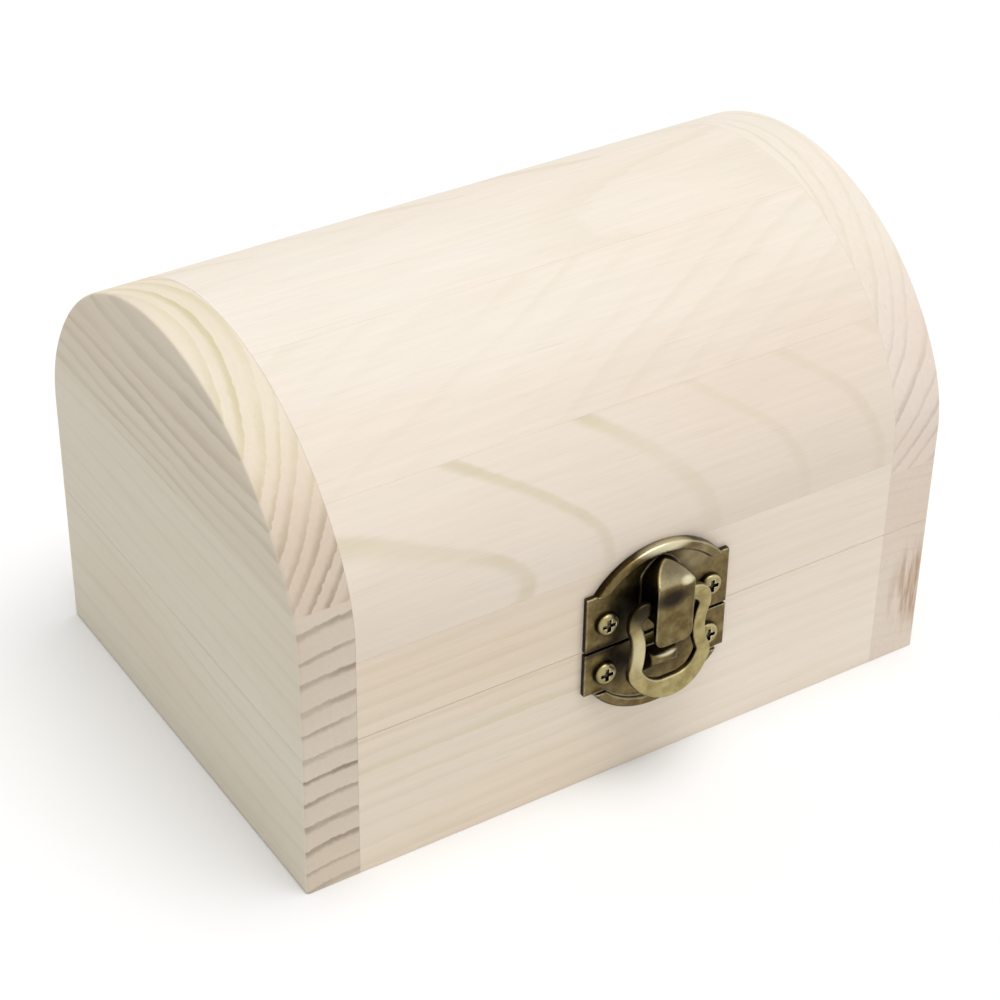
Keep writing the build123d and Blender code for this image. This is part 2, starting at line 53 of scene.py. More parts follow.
# The boards. Lengths are millimetres, in the frame's directions.
#
# Each has the nodes that it dresses, the way its grain runs, the seed of its own pattern and its
# cut. Some have more: a tint in place of the usual pale wood, which on the left end is partly
# painted shade; a bright colour that it turns to at the top of the lid, which is painted light,
# and the height bright_from which it does; sap, which is from where to where along the grain the
# sapwood sets in, and its colour; a knot's middle and reach; and the lower of the two planks that
# an end panel is glued from, with its top, its tint over the upper plank's colour, and its own
# cut.
#
# A cut has the pith, which is the tree's middle across the grain, and the gap between rings. By
# lean the pith moves sideways along the grain, and by taper the rings' distance from it grows.
# Contrast is how plainly the rings show on sides, and end_contrast on cut ends. Begins is where in
# a year the dark late wood sets in, and start is where in a year the count of years starts. Fade
# is from where to where along the grain the rings fade, and the share of them that is left.
BOARDS = {
    "left end": dict(
        # The tint is partly the panel's own greyer tone and partly painted shade, for its face
        # turned from the light; its bright colour from 58 mm up is painted light
        nodes=("base_left_end", "lid_left_end"), grain="Y", seed=3.1, tint=(0.71, 0.643, 0.521),
        cut=dict(pith=(-102.0, 101.0), gap=2.5, contrast=0.56, end_contrast=0.85, begins=0.4),
        bright=(0.82, 0.735, 0.60), bright_from=58.0,
        lower=dict(
            top=52.5, tint=(1.02, 1.045, 1.06),
            cut=dict(pith=(-43.0, -130.0), gap=4.5, contrast=0.14, end_contrast=0.9, begins=0.66),
        ),
    ),
    "right end": dict(
        nodes=("base_right_end", "lid_right_end"), grain="Y", seed=7.7, tint=(0.862, 0.80, 0.70),
        cut=dict(pith=(7.0, 90.0), gap=3.0, contrast=0.26, end_contrast=0.32),
        knot=((58.5, -42.5, 13.5), (6.0, 12.0, 11.0)),
        lower=dict(
            top=39.0, tint=(0.955, 0.95, 0.92),
            cut=dict(pith=(40.0, -90.0), gap=2.6, contrast=0.2, end_contrast=0.08),
        ),
    ),
    "front board": dict(
        nodes=("base_front_board", "lid_front_rail"), grain="X", seed=1.3,
        cut=dict(pith=(5.0, 118.0), gap=3.1, contrast=0.30, begins=0.35, fade=(-35.0, 25.0, 0.4)),
        tint=(0.835, 0.73, 0.60), sap=(-15.0, 25.0, (0.905, 0.82, 0.712)),
    ),
    "back board": dict(
        nodes=("base_back_board", "lid_back_rail"), grain="X", seed=12.9,
        cut=dict(pith=(-20.0, -70.0), gap=3.6, contrast=0.3),
    ),
    "front lower stave": dict(
        nodes=("lid_stave_front_lower",), grain="X", seed=22.4,
        cut=dict(
            pith=(-55.75, 44.0), gap=15.25, lean=-0.5, taper=0.4, contrast=0.58, begins=0.76,
            start=0.58, fade=(-20.0, 4.0, 0.35),
        ),
    ),
    "front upper stave": dict(
        nodes=("lid_stave_front_upper",), grain="X", seed=31.8,
        cut=dict(pith=(-86.0, 35.0), gap=5.5, taper=-0.45, contrast=0.09, begins=0.5),
    ),
    "crown stave": dict(
        nodes=("lid_stave_crown",), grain="X", seed=44.2,
        cut=dict(pith=(15.0, -60.0), gap=3.0, taper=0.06, contrast=0.12),
    ),
    "back upper stave": dict(
        nodes=("lid_stave_back_upper",), grain="X", seed=55.6,
        cut=dict(pith=(-50.0, -20.0), gap=2.9, taper=0.12, contrast=0.25),
    ),
    "back lower stave": dict(
        nodes=("lid_stave_back_lower",), grain="X", seed=61.5,
        cut=dict(pith=(-15.0, 120.0), gap=3.3, taper=0.02, contrast=0.28),
    ),
    "floor": dict(
        nodes=("bottom_panel",), grain="X", seed=71.2, tint=(0.80, 0.70, 0.55),
        cut=dict(pith=(0.0, -400.0), gap=2.6, taper=0.04, contrast=0.35),
    ),
}

# Patterns that the wood varies by: waves per millimetre along and across the grain, how many finer
# waves are added and how strongly, and what is added to the seed so that no two are alike
PATTERNS = {
    "bend": (0.012, 0.03, 2.0, 0.5, 0.0),
    "ragged line": (0.25, 0.9, 3.0, 0.6, 1.0),
    "fibre": (0.05, 1.3, 4.0, 0.6, 2.0),
    "fine fibre": (0.12, 6.0, 3.0, 0.6, 3.0),
    "patch": (0.03, 0.12, 2.0, 0.5, 5.0),
    "resin": (0.11, 2.6, 2.0, 0.5, 7.0),
    "blotch": (0.015, 0.05, 3.0, 0.55, 9.0),
}
NOISE_SPAN = (0.3, 0.7)  # nearly all of a noise lies between these
PATCH_SPAN = (0.35, 0.65)  # the same, cut a little tighter for patches of colour

RING_BEND = 9.0  # millimetres that the rings' slow bends span
RING_RAGGED = 0.9  # millimetres that a ring's line wanders by, close up
YEAR_UNEVEN = 1.2  # years that wide and narrow rings are out by
YEAR_WAVE = 0.45  # waves per year of wide and narrow rings
LATE_WHOLE, LATE_STOPS = 0.88, 0.93  # the part of a year in which the late wood is darkest
LATE_BY_YEAR = (0.5, 1.0)  # late wood in the palest and the darkest year
LATE_BY_PATCH = (0.35, 1.15)  # late wood in the palest and the darkest patch
LOWER_PLANK_SEED = 20.0  # added to the seed of an end panel's lower plank

CUT_END = (0.55, 0.8)  # how far a face looks along the grain, from a side to a cut end
LONG_SIDE = (0.8, 0.5)  # how far it looks to the chest's ends, from an end face to all the rest
GLUE_LINE = 0.1  # millimetres on each side of a joint in which one plank turns into the other
CROWN_FROM = 66.0  # height in millimetres at which the wood starts to be painted brighter, as painted light from above
CROWN_REACH = 14.0  # and how much higher it has
YELLOWED = (58.0 * MM, 74.0 * MM)  # heights between which the lines on cut ends turn yellow
KNOT_STREAKS = (4.2, 0.4, 0.8)  # streaks in a knot's reach, in the frame's directions
FIBRE_RELIEF = 0.05  # millimetres that fibres and late wood stand proud

# Pressed parts, with the body that each rides on
PRESSED = {
    "hasp_plate": "lid", "catch_plate": "base", "hasp_loop": "loop",
    "hinge_left_lid_leaf": "lid", "hinge_right_lid_leaf": "lid",
    "hinge_left_base_leaf": "base", "hinge_right_base_leaf": "base",
}

# How they are tumbled: the fineness of their skin in millimetres, and the rounds of smoothing
PLATE_TUMBLING = dict(fineness=0.12, rounds=7)
LOOP_TUMBLING = dict(fineness=0.12, rounds=14)
LEAF_TUMBLING = dict(fineness=0.15, rounds=3)

# Spots of the hasp's plating with painted light: painted shadow where the nose and the loop shade
# the plates, along the seam (partly its dark joint) and over the hood, and painted highlights on
# the bend, the hood's upper edge, the catch's lip and the lid's plate above right: middle and
# reach in millimetres, the name of the colour in ChestBronze, and its strength
HASP_PAINTED_LIGHT = (
    ((3.8, -44.8, 41.2), (5.0, 4.0, 3.4), "hollow_and_shade", 0.55),  # the hood over the nose
    ((2.7, -47.6, 36.3), (4.4, 2.4, 2.4), "hollow_and_shade", 0.95),  # under the nose's bend
    ((5.6, -47.3, 38.6), (1.5, 1.6, 0.8), "rubbed_and_lit", 0.85),  # on the bend
    ((4.6, -43.2, 43.1), (6.5, 2.0, 1.4), "rubbed_and_lit", 0.8),  # the hood's upper edge
    ((3.8, -45.9, 24.1), (3.2, 0.9, 0.7), "rubbed_and_lit", 0.8),  # the catch's lip
    ((-8.0, -42.9, 27.0), (5.5, 1.2, 1.6), "hollow_and_shade", 0.8),  # the seam, left of the loop
    ((-4.0, -43.0, 23.5), (4.2, 2.6, 7.0), "hollow_and_shade", 0.7),  # the catch plate, left of the loop
    ((-1.4, -43.4, 32.5), (3.8, 2.8, 4.8), "hollow_and_shade", 0.8),  # the lid's plate, left of the nose
    ((10.5, -43.0, 38.5), (4.5, 1.8, 4.0), "rubbed_and_lit", 0.1),  # the lid's plate, above right
)
# Painted light on the loop: a painted shadow on its left shoulder and a painted highlight on its
# left side
LOOP_PAINTED_LIGHT = (
    ((-2.4, -45.6, 35.2), (5.0, 3.0, 5.2), "hollow_and_shade", 0.95),  # the left shoulder
    ((-1.6, -46.0, 26.5), (3.4, 3.0, 5.0), "rubbed_and_lit", 0.45),  # the left side
)
MARK_EDGE = (0.3, 1.1)  # shares of its reach between which a mark fades

LIT_SIDE = (0.25, 0.72, 0.65)  # painted light and shade: faces are painted brightest where they look out and up, where the light from above falls
SCREW_EDGE = 0.3  # millimetres of rubbed edge on a screw, which also stands in for a painted highlight; other parts have a little more
HOLLOW_REACH = 4.5  # millimetres within which other metal or wood shelters a recess, which darkens as patina
SPECKLE_RELIEF = 0.04  # millimetres that the plating is uneven by
SAMPLES = 8  # rays for each rounded edge and hollow

SENSOR = 36.0  # width of the camera's sensor, millimetres
KEY_LIGHT_FROM = (0.10, -0.13, 0.98)
FLOOR_DROP = 0.02  # millimetres between the chest's underside and the floor


def node(tree, kind, values=None, **settings):
    """A shader node with its settings; its inputs are numbers, colours or other nodes' sockets."""
    made = tree.nodes.new(kind)
    for name, value in settings.items():
        setattr(made, name, value)
    for name, value in (values or {}).items():
        socket = made.inputs[name]
        if isinstance(value, bpy.types.NodeSocket):
            tree.links.new(value, socket)
        else:
            socket.default_value = value
    return made


def maths(tree, operation, *values, clamp=False):
    """The result of a sum on one to three numbers or sockets."""
    numbered = dict(enumerate(values))
    return node(tree, "ShaderNodeMath", numbered, operation=operation, use_clamp=clamp).outputs[0]


def vector_maths(tree, operation, *values):
    """The vector that a sum on vectors gives."""
    numbered = dict(enumerate(values))
    return node(tree, "ShaderNodeVectorMath", numbered, operation=operation).outputs[0]


def vector_number(tree, operation, *values):
    """The number that a sum on vectors gives, such as a length or a dot product."""
    numbered = dict(enumerate(values))
    return node(tree, "ShaderNodeVectorMath", numbered, operation=operation).outputs[1]


def split(tree, vector):
    """A vector's x, y and z."""
    return node(tree, "ShaderNodeSeparateXYZ", {0: vector}).outputs


def joined(tree, x=0.0, y=0.0, z=0.0):
    """The vector with this x, y and z."""
    return node(tree, "ShaderNodeCombineXYZ", {0: x, 1: y, 2: z}).outputs[0]


def remap(tree, value, source, target=(0.0, 1.0), smooth=False):
    """A number moved from one range to another, and kept inside it."""
    values = {
        "Value": value, "From Min": source[0], "From Max": source[1],
        "To Min": target[0], "To Max": target[1],
    }
    kind = "SMOOTHSTEP" if smooth else "LINEAR"
    return node(tree, "ShaderNodeMapRange", values, interpolation_type=kind).outputs[0]


def noise(tree, place, seed, scale=1.0, detail=3.0, roughness=0.6):
    """Numbers from 0 to 1 that drift with the place: the first output is one, the second three."""
    values = {
        "Vector": place, "Scale": scale, "Detail": detail, "Roughness": roughness, "W": seed,
    }
    return node(tree, "ShaderNodeTexNoise", values, noise_dimensions="4D").outputs


def mixed(tree, share, first, second, blend="MIX"):
    """A colour between two others."""
    values = {0: share, 6: first, 7: second}  # the sockets that a mix of colours uses
    return node(tree, "ShaderNodeMix", values, data_type="RGBA", blend_type=blend).outputs[2]


def tinted(tree, base, tint):
    """A colour multiplied with another."""
    return mixed(tree, 1.0, base, tint, blend="MULTIPLY")


def ramp(tree, share, stops):
    """A number that follows stops of (place, value), with rounded turns."""
    made = node(tree, "ShaderNodeValToRGB", {"Fac": share})
    made.color_ramp.interpolation = "EASE"
    points = made.color_ramp.elements
    while len(points) < len(stops):
        points.new(0.5)
    for point, (place, value) in zip(points, stops):
        point.position = place
        point.color = (value, value, value, 1.0)
    return made.outputs[0]


def colour(values):
    """A colour with the fourth value that sockets ask for."""
    return (*values, 1.0)


def in_millimetres(tree, place, turn=(0, 0, 0)):
    """A place in the frame, turned and in millimetres."""
    values = {"Vector": place, "Rotation": turn, "Scale": (PER_METRE,) * 3}
    return node(tree, "ShaderNodeMapping", values).outputs[0]


def near_mask(tree, place, middle, reach):
    """1 at a point of the part and 0 beyond its reach, both in millimetres, and the way there."""
    middle = tuple(value * MM for value in middle)
    scale = tuple(1 / (value * MM) for value in reach)
    offset = vector_maths(tree, "MULTIPLY", vector_maths(tree, "SUBTRACT", place, middle), scale)
    far = vector_number(tree, "LENGTH", offset)
    return remap(tree, far, MARK_EDGE, (1.0, 0.0), smooth=True), offset


def new_material(name):
    """An empty material with a principled shader; returns it with its tree and shader."""
    material = bpy.data.materials.new(name)
    material.use_nodes = True
    tree = material.node_tree
    tree.nodes.clear()
    shader = node(tree, "ShaderNodeBsdfPrincipled")
    node(tree, "ShaderNodeOutputMaterial", {"Surface": shader.outputs[0]})
    return material, tree, shader


def dress(name, material):
    """Gives a node of the solid model its material."""
    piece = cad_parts[name]
    if not piece.data.materials:
        piece.data.materials.append(material)
    for slot in piece.material_slots:
        slot.material = material


# Wood. The log is the place in millimetres with its x along the grain.


def wood_pattern(tree, log, kind, seed=0.0):
    """One of the patterns that the wood varies by."""
    along, across, detail, roughness, own_seed = PATTERNS[kind]
    place = vector_maths(tree, "MULTIPLY", log, (along, across, across))
    return noise(tree, place, seed + own_seed, detail=detail, roughness=roughness)


def resin_streaks(tree, log, seed):
    """Short fine dashes along the grain, as a small darkening."""
    return remap(tree, wood_pattern(tree, log, "resin", seed)[0], (0.64, 0.76), (0.0, 0.07))


def knot_mask(tree, place, middle, reach):
    """Where the rim of a small knot is cut, streaked along the grain."""
    near, offset = near_mask(tree, place, middle, reach)
    streaks = noise(tree, vector_maths(tree, "MULTIPLY", offset, KNOT_STREAKS), 2.0)[0]
    return maths(tree, "MULTIPLY", near, remap(tree, streaks, (0.40, 0.62), (0.0, 0.85)))


def growth_years(tree, log, seed, grain, pith, gap, lean, taper, start):
    """In which year a point grew: circles round the tree's middle, bent by slow drifts."""
    drift = wood_pattern(tree, log, "bend", seed)[1]
    centred = vector_maths(tree, "SUBTRACT", drift, (0.5, 0.5, 0.5))
    bend = vector_maths(tree, "MULTIPLY", centred, (0.0, RING_BEND, RING_BEND))
    across, up = pith
    middle = (0.0, across if grain == "X" else -across, up)
    bent = vector_maths(tree, "SUBTRACT", vector_maths(tree, "ADD", log, bend), middle)
    along, sideways, upwards = split(tree, bent)
    sideways = maths(tree, "MULTIPLY_ADD", along, -lean, sideways)
    distance = vector_number(tree, "LENGTH", joined(tree, y=sideways, z=upwards))
    distance = maths(tree, "MULTIPLY_ADD", along, taper, distance)
    ragged = wood_pattern(tree, log, "ragged line", seed)[0]
    distance = maths(tree, "MULTIPLY_ADD", ragged, RING_RAGGED, distance)
    years = maths(tree, "MULTIPLY_ADD", distance, 1 / gap, start)
    uneven = noise(tree, joined(tree, x=years), seed, scale=YEAR_WAVE, detail=1.0, roughness=0.5)
    return maths(tree, "MULTIPLY_ADD", uneven[0], YEAR_UNEVEN, years)


def late_wood(tree, log, seed, ends, grain, pith, gap, contrast, end_contrast=0.4, lean=0.0,
              taper=0.0, begins=0.6, start=0.0, fade=None):
    """How dark the rings are, from 0 to 1."""
    years = growth_years(tree, log, seed, grain, pith, gap, lean, taper, start)
    late = ramp(
        tree, maths(tree, "FRACT", years),
        ((0.0, 0.0), (begins, 0.05), (LATE_WHOLE, 1.0), (LATE_STOPS, 1.0), (1.0, 0.0)),
    )
    year = maths(tree, "ADD", maths(tree, "FLOOR", years), seed)
    by_year = node(tree, "ShaderNodeTexWhiteNoise", {"W": year}, noise_dimensions="1D").outputs[0]
    strength = maths(tree, "MULTIPLY", late, remap(tree, by_year, (0.0, 1.0), LATE_BY_YEAR))
    patch = wood_pattern(tree, log, "patch", seed)[0]
    strength = maths(tree, "MULTIPLY", strength, remap(tree, patch, NOISE_SPAN, LATE_BY_PATCH))
    plain = remap(tree, ends, (0.0, 1.0), (contrast, end_contrast))
    strength = maths(tree, "MULTIPLY", strength, plain, clamp=fade is None)
    if fade is None:
        return strength
    fade_begins, fade_ends, left_over = fade
    along = split(tree, log)[0]
    faded = remap(tree, along, (fade_begins, fade_ends), (1.0, left_over), smooth=True)
    return maths(tree, "MULTIPLY", strength, faded, clamp=True)


def early_wood(tree, wood, log, height, long_side, tint, bright, bright_from, sap):
    """The pale ground: painted light makes it brighter at the top of the lid, where the light from
    above falls; and it turns lighter where the sapwood sets in.
    """
    # Painted light: the pale wood turns brighter up the lid, on all but the end panels' faces
    turns_bright = (bright_from * MM, (bright_from + CROWN_REACH) * MM)
    crown = remap(tree, height, turns_bright, smooth=True)
    crown = maths(tree, "MULTIPLY", crown, long_side)
    pale = mixed(tree, crown, colour(tint or wood.pale), colour(bright or wood.crown))
    if sap is None:
        return pale
    heart_side, bark_side, sap_colour = sap
    sapwood = remap(tree, split(tree, log)[0], (heart_side, bark_side), smooth=True)
    return mixed(tree, sapwood, pale, colour(sap_colour))


def pine_board(name, wood, grain, seed, cut, tint=None, bright=None, bright_from=CROWN_FROM,
               sap=None, lower=None, knot=None):
    """Sawn pine: rings round the tree's middle, drifting along the grain, and fine fibres."""
    material, tree, shader = new_material("pine " + name)
    here = node(tree, "ShaderNodeTexCoord").outputs
    place = here["Object"]
    log = in_millimetres(tree, place, turn=(0, 0, 0) if grain == "X" else (0, 0, -pi / 2))
    height = split(tree, place)[2]
    looks = split(tree, here["Normal"])
    ends = remap(tree, maths(tree, "ABSOLUTE", looks["XY".index(grain)]), CUT_END)
    long_side = remap(tree, maths(tree, "ABSOLUTE", looks[0]), LONG_SIDE)

    # The rings and the pale wood between them, with the lower plank of an end panel
    rings = late_wood(tree, log, seed, ends, grain, **cut)
    pale = early_wood(tree, wood, log, height, long_side, tint, bright, bright_from, sap)
    if lower is not None:
        joint = ((lower["top"] - GLUE_LINE) * MM, (lower["top"] + GLUE_LINE) * MM)
        upper = remap(tree, height, joint)
        lower_rings = late_wood(tree, log, seed + LOWER_PLANK_SEED, ends, grain, **lower["cut"])
        rings = node(tree, "ShaderNodeMix", {0: upper, 2: lower_rings, 3: rings}).outputs[0]
        pale = mixed(tree, upper, tinted(tree, pale, colour(lower["tint"])), pale)

    # Colour
    blotch = remap(tree, wood_pattern(tree, log, "blotch")[0], PATCH_SPAN)
    ground = mixed(tree, blotch, pale, tinted(tree, pale, colour(wood.blush)))
    ground = mixed(tree, ends, ground, tinted(tree, ground, colour(wood.end_shade)))
    yellowing = remap(tree, height, YELLOWED, (0.0, 0.9))
    end_line = mixed(tree, yellowing, colour(wood.end_late), colour(wood.late))
    side_line = mixed(tree, long_side, colour(wood.face_late), colour(wood.late))
    painted = mixed(tree, rings, ground, mixed(tree, ends, side_line, end_line))

    # Fibres shade the wood and stand a few hundredths of a millimetre proud, and so do the rings
    fibre = wood_pattern(tree, log, "fibre")[0]
    fine = wood_pattern(tree, log, "fine fibre")[0]
    fibre_shade = remap(tree, fibre, NOISE_SPAN, (0.965, 1.02))
    fine_shade = remap(tree, fine, NOISE_SPAN, (-0.02, 0.012))
    shade = maths(tree, "ADD", fibre_shade, fine_shade)
    shade = maths(tree, "SUBTRACT", shade, resin_streaks(tree, log, seed))
    grey = node(tree, "ShaderNodeCombineColor", {0: shade, 1: shade, 2: shade}).outputs[0]
    painted = tinted(tree, painted, grey)
    if knot is not None:
        painted = mixed(tree, knot_mask(tree, place, *knot), painted, colour(wood.knot))
    half_fine = maths(tree, "MULTIPLY", fine, 0.5)
    relief = maths(tree, "ADD", half_fine, maths(tree, "MULTIPLY", rings, 0.5))
    bump = {"Strength": 0.35, "Distance": FIBRE_RELIEF * MM, "Height": relief}

    tree.links.new(painted, shader.inputs["Base Color"])
    tree.links.new(remap(tree, fibre, NOISE_SPAN, (0.62, 0.78)), shader.inputs["Roughness"])
    shader.inputs["Specular IOR Level"].default_value = 0.3
    tree.links.new(node(tree, "ShaderNodeBump", bump).outputs[0], shader.inputs["Normal"])
    return material


# Bronze


def antique_bronze(name, bronze, plating, polished, edge=0.35, painted_light=()):
    """Antique plating: rubbed brass on edges, also standing in for highlights, and dark patina in
    hollows; with painted light and shade: brighter on faces turned out and up, darker underneath,
    and painted shade and highlights at given spots.
    """
    material, tree, shader = new_material(name)
    here = node(tree, "ShaderNodeTexCoord").outputs
    place = in_millimetres(tree, here["Object"])
    cloud = noise(tree, place, 4.0, scale=0.5)[0]
    speckle = noise(tree, place, 1.0, scale=3.5)[0]

    # Edges are found by how a rounded normal turns away from the true one; they are painted as
    # rubbed brass that also stands in for highlights
    rounded = node(tree, "ShaderNodeBevel", {"Radius": edge * MM}, samples=SAMPLES).outputs[0]
    true_normal = node(tree, "ShaderNodeNewGeometry").outputs["Normal"]
    turn = vector_number(tree, "DOT_PRODUCT", rounded, true_normal)
    worn = remap(tree, cloud, (0.3, 0.6), (0.4, 1.0))
    rubbed_and_lit_edge = maths(tree, "MULTIPLY", remap(tree, turn, (0.995, 0.9)), worn)

    # Painted light and shade by the way a face looks, front and back alike: out and up brighter,
    # down darker; and what is sheltered in hollows, which darken as patina
    side, front, above = split(tree, here["Normal"])
    outwards = joined(tree, side, maths(tree, "ABSOLUTE", front), above)
    lit_facing = vector_number(tree, "DOT_PRODUCT", outwards, LIT_SIDE)
    shelter = {"Distance": HOLLOW_REACH * MM}
    bare = node(tree, "ShaderNodeAmbientOcclusion", shelter, samples=SAMPLES).outputs["AO"]
    # Painted shade: faces turned down or away are painted towards the dark colour; hollows darken
    # as patina
    clean_and_lit = maths(
        tree, "MULTIPLY", remap(tree, bare, (0.35, 0.92), smooth=True),
        remap(tree, lit_facing, (0.0, 0.7), (0.03, 1.0), smooth=True),
    )
    # Painted highlight: faces turned most out and up are painted towards the brass colour
    face_highlight = remap(tree, lit_facing, (0.86, 1.0), (0.0, 0.3), smooth=True)
    rubbed_and_lit = maths(tree, "MAXIMUM", rubbed_and_lit_edge, face_highlight)
    rubbed_and_lit = maths(tree, "MULTIPLY", rubbed_and_lit, remap(tree, bare, (0.3, 0.7)))

    # Colour
    ground = mixed(tree, remap(tree, cloud, PATCH_SPAN), colour(plating), colour(polished))
    painted = mixed(tree, clean_and_lit, colour(bronze.hollow_and_shade), ground)
    painted = mixed(tree, rubbed_and_lit, painted, colour(bronze.rubbed_and_lit))
    # Painted shade and painted highlights at the given spots
    for middle, reach, tone, strength in painted_light:
        near = maths(tree, "MULTIPLY", near_mask(tree, here["Object"], middle, reach)[0], strength)
        painted = mixed(tree, near, painted, colour(getattr(bronze, tone)))
    tree.links.new(painted, shader.inputs["Base Color"])
    shader.inputs["Metallic"].default_value = 1.0

    # Gloss and relief
    polish = remap(tree, rubbed_and_lit, (0.0, 1.0), (0.32, 0.2))
    rough = maths(tree, "ADD", polish, remap(tree, speckle, NOISE_SPAN, (-0.04, 0.08)))
    tree.links.new(rough, shader.inputs["Roughness"])
    bump = {
        "Strength": 0.3, "Distance": SPECKLE_RELIEF * MM, "Height": speckle, "Normal": rounded,
    }
    tree.links.new(node(tree, "ShaderNodeBump", bump).outputs[0], shader.inputs["Normal"])
    return material


def tumbled(name, material, fineness, rounds):
    """Stands for a pressed part: a copy of its mesh whose edges are rounded, as tumbling does."""
    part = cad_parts[name]
    piece = bpy.data.objects.new(name + "_tumbled", part.data.copy())
    bpy.context.scene.collection.objects.link(piece)
    remesh = piece.modifiers.new("fine skin", "REMESH")
    remesh.mode = "VOXEL"
    remesh.voxel_size = fineness * MM
    smooth = piece.modifiers.new("tumbled edges", "SMOOTH")
    smooth.factor = 0.5
    smooth.iterations = rounds
    shown = piece.evaluated_get(bpy.context.evaluated_depsgraph_get())
    shaped = bpy.data.meshes.new_from_object(shown)
    piece.modifiers.clear()
    piece.data = shaped
    shaped.shade_smooth()
    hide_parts(name)
    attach(piece, PRESSED[name])
    shaped.materials.clear()
    shaped.materials.append(material)


# Settings that a user would change


class ChestWood(PropertyGroup):
    pale: FloatVectorProperty(
        name="Pale wood", description="Colour of the early wood", subtype="COLOR",
        min=0, max=1, default=(0.845, 0.75, 0.645),
    )
    blush: FloatVectorProperty(
        name="Blush", description="Tint of the warmer patches, multiplied with the pale wood",
        subtype="COLOR", min=0, max=1, default=(0.985, 0.945, 0.915),
    )
    # Painted light: this brighter colour at the top of the lid stands for the light from above
    crown: FloatVectorProperty(
        name="Crown", description="Colour of the early wood at the top of the lid",
        subtype="COLOR", min=0, max=1, default=(0.86, 0.795, 0.70),
    )
    late: FloatVectorProperty(
        name="Late wood", description="Colour of the rings on the staves and the long boards",
        subtype="COLOR", min=0, max=1, default=(0.55, 0.475, 0.22),
    )
    face_late: FloatVectorProperty(
        name="Late wood on the end panels", description="Colour of the rings on their faces",
        subtype="COLOR", min=0, max=1, default=(0.40, 0.33, 0.24),
    )
    end_late: FloatVectorProperty(
        name="Late wood on cut ends", description="Colour of the rings on sawn ends",
        subtype="COLOR", min=0, max=1, default=(0.27, 0.205, 0.145),
    )
    end_shade: FloatVectorProperty(
        name="Cut ends", description="Tint of sawn ends, multiplied with the pale wood",
        subtype="COLOR", min=0, max=1, default=(0.98, 0.92, 0.92),
    )
    knot: FloatVectorProperty(
        name="Knot", description="Colour of the knot's rim", subtype="COLOR",
        min=0, max=1, default=(0.36, 0.19, 0.075),
    )


class ChestBronze(PropertyGroup):
    plating: FloatVectorProperty(
        name="Plating", description="Dark antique bronze", subtype="COLOR",
        min=0, max=1, default=(0.105, 0.072, 0.026),
    )
    olive: FloatVectorProperty(
        name="Olive", description="Lighter, greener patches of the plating", subtype="COLOR",
        min=0, max=1, default=(0.22, 0.165, 0.068),
    )
    loop: FloatVectorProperty(
        name="Loop", description="Plating of the loop and the screws", subtype="COLOR",
        min=0, max=1, default=(0.28, 0.22, 0.09),
    )
    brass: FloatVectorProperty(
        name="Brass", description="Worn patches of the loop and the screws", subtype="COLOR",
        min=0, max=1, default=(0.43, 0.36, 0.17),
    )
    # Dark patina in hollows, and also the colour of painted shade: under faces turned down and at
    # given spots of painted shadow
    hollow_and_shade: FloatVectorProperty(
        name="Hollows", description="Dark stain in the hollows", subtype="COLOR",
        min=0, max=1, default=(0.014, 0.009, 0.005),
    )
    # Worn brass on edges, and also the colour of painted highlights and of painted light on faces
    # turned out and up
    rubbed_and_lit: FloatVectorProperty(
        name="Rubbed edges", description="Brass where the plating is rubbed", subtype="COLOR",
        min=0, max=1, default=(0.80, 0.73, 0.50),
    )


class ChestStage(PropertyGroup):
    azimuth: FloatProperty(
        name="Azimuth", description="Way from the chest to the camera; 0 is straight in front",
        default=radians(-32.98), subtype="ANGLE",
    )
    elevation: FloatProperty(
        name="Elevation", description="Angle of the camera above the horizon",
        default=radians(35.07), subtype="ANGLE",
    )
    roll: FloatProperty(
        name="Roll", description="Turn of the camera about its line of sight",
        default=radians(1.005), subtype="ANGLE",
    )
    distance: FloatProperty(
        name="Distance", description="From the camera to the point that it looks at",
        default=0.4505, min=0.1, unit="LENGTH",
    )
    target: FloatVectorProperty(
        name="Target", description="Point that the camera looks at",
        default=(0.001255, 0.0, 0.02694), subtype="TRANSLATION", unit="LENGTH",
    )
    lens: FloatProperty(
        name="Focal length", description="On a sensor 36 mm wide, in millimetres",
        default=95.9, min=10,
    )
    key: FloatProperty(
        name="Key light", description="Strength of the soft light from above", default=1.85, min=0,
    )
    softness: FloatProperty(
        name="Softness", description="How wide the key light is, seen from the chest",
        default=radians(40), subtype="ANGLE",
    )
    sky: FloatProperty(
        name="Sky", description="Strength of the even light from all round", default=0.52, min=0,
    )
    floor_colour: FloatVectorProperty(
        name="Floor", description="Colour of the floor", subtype="COLOR",
        min=0, max=1, default=(0.93, 0.93, 0.93),
    )
    floor_size: FloatProperty(
        name="Floor size", description="Length of the floor's sides", default=6.0, unit="LENGTH",
    )


# Operators


class CHEST_OT_boards(Operator):
    """Gives every board of the chest its own cut of pine"""

    bl_idname = "chest.boards"
    bl_label = "Boards"

    def execute(self, context):
        for name, board in BOARDS.items():
            wood = {key: value for key, value in board.items() if key != "nodes"}
            material = pine_board(name, context.scene.chest_wood, **wood)
            for piece in board["nodes"]:
                dress(piece, material)
        return {"FINISHED"}


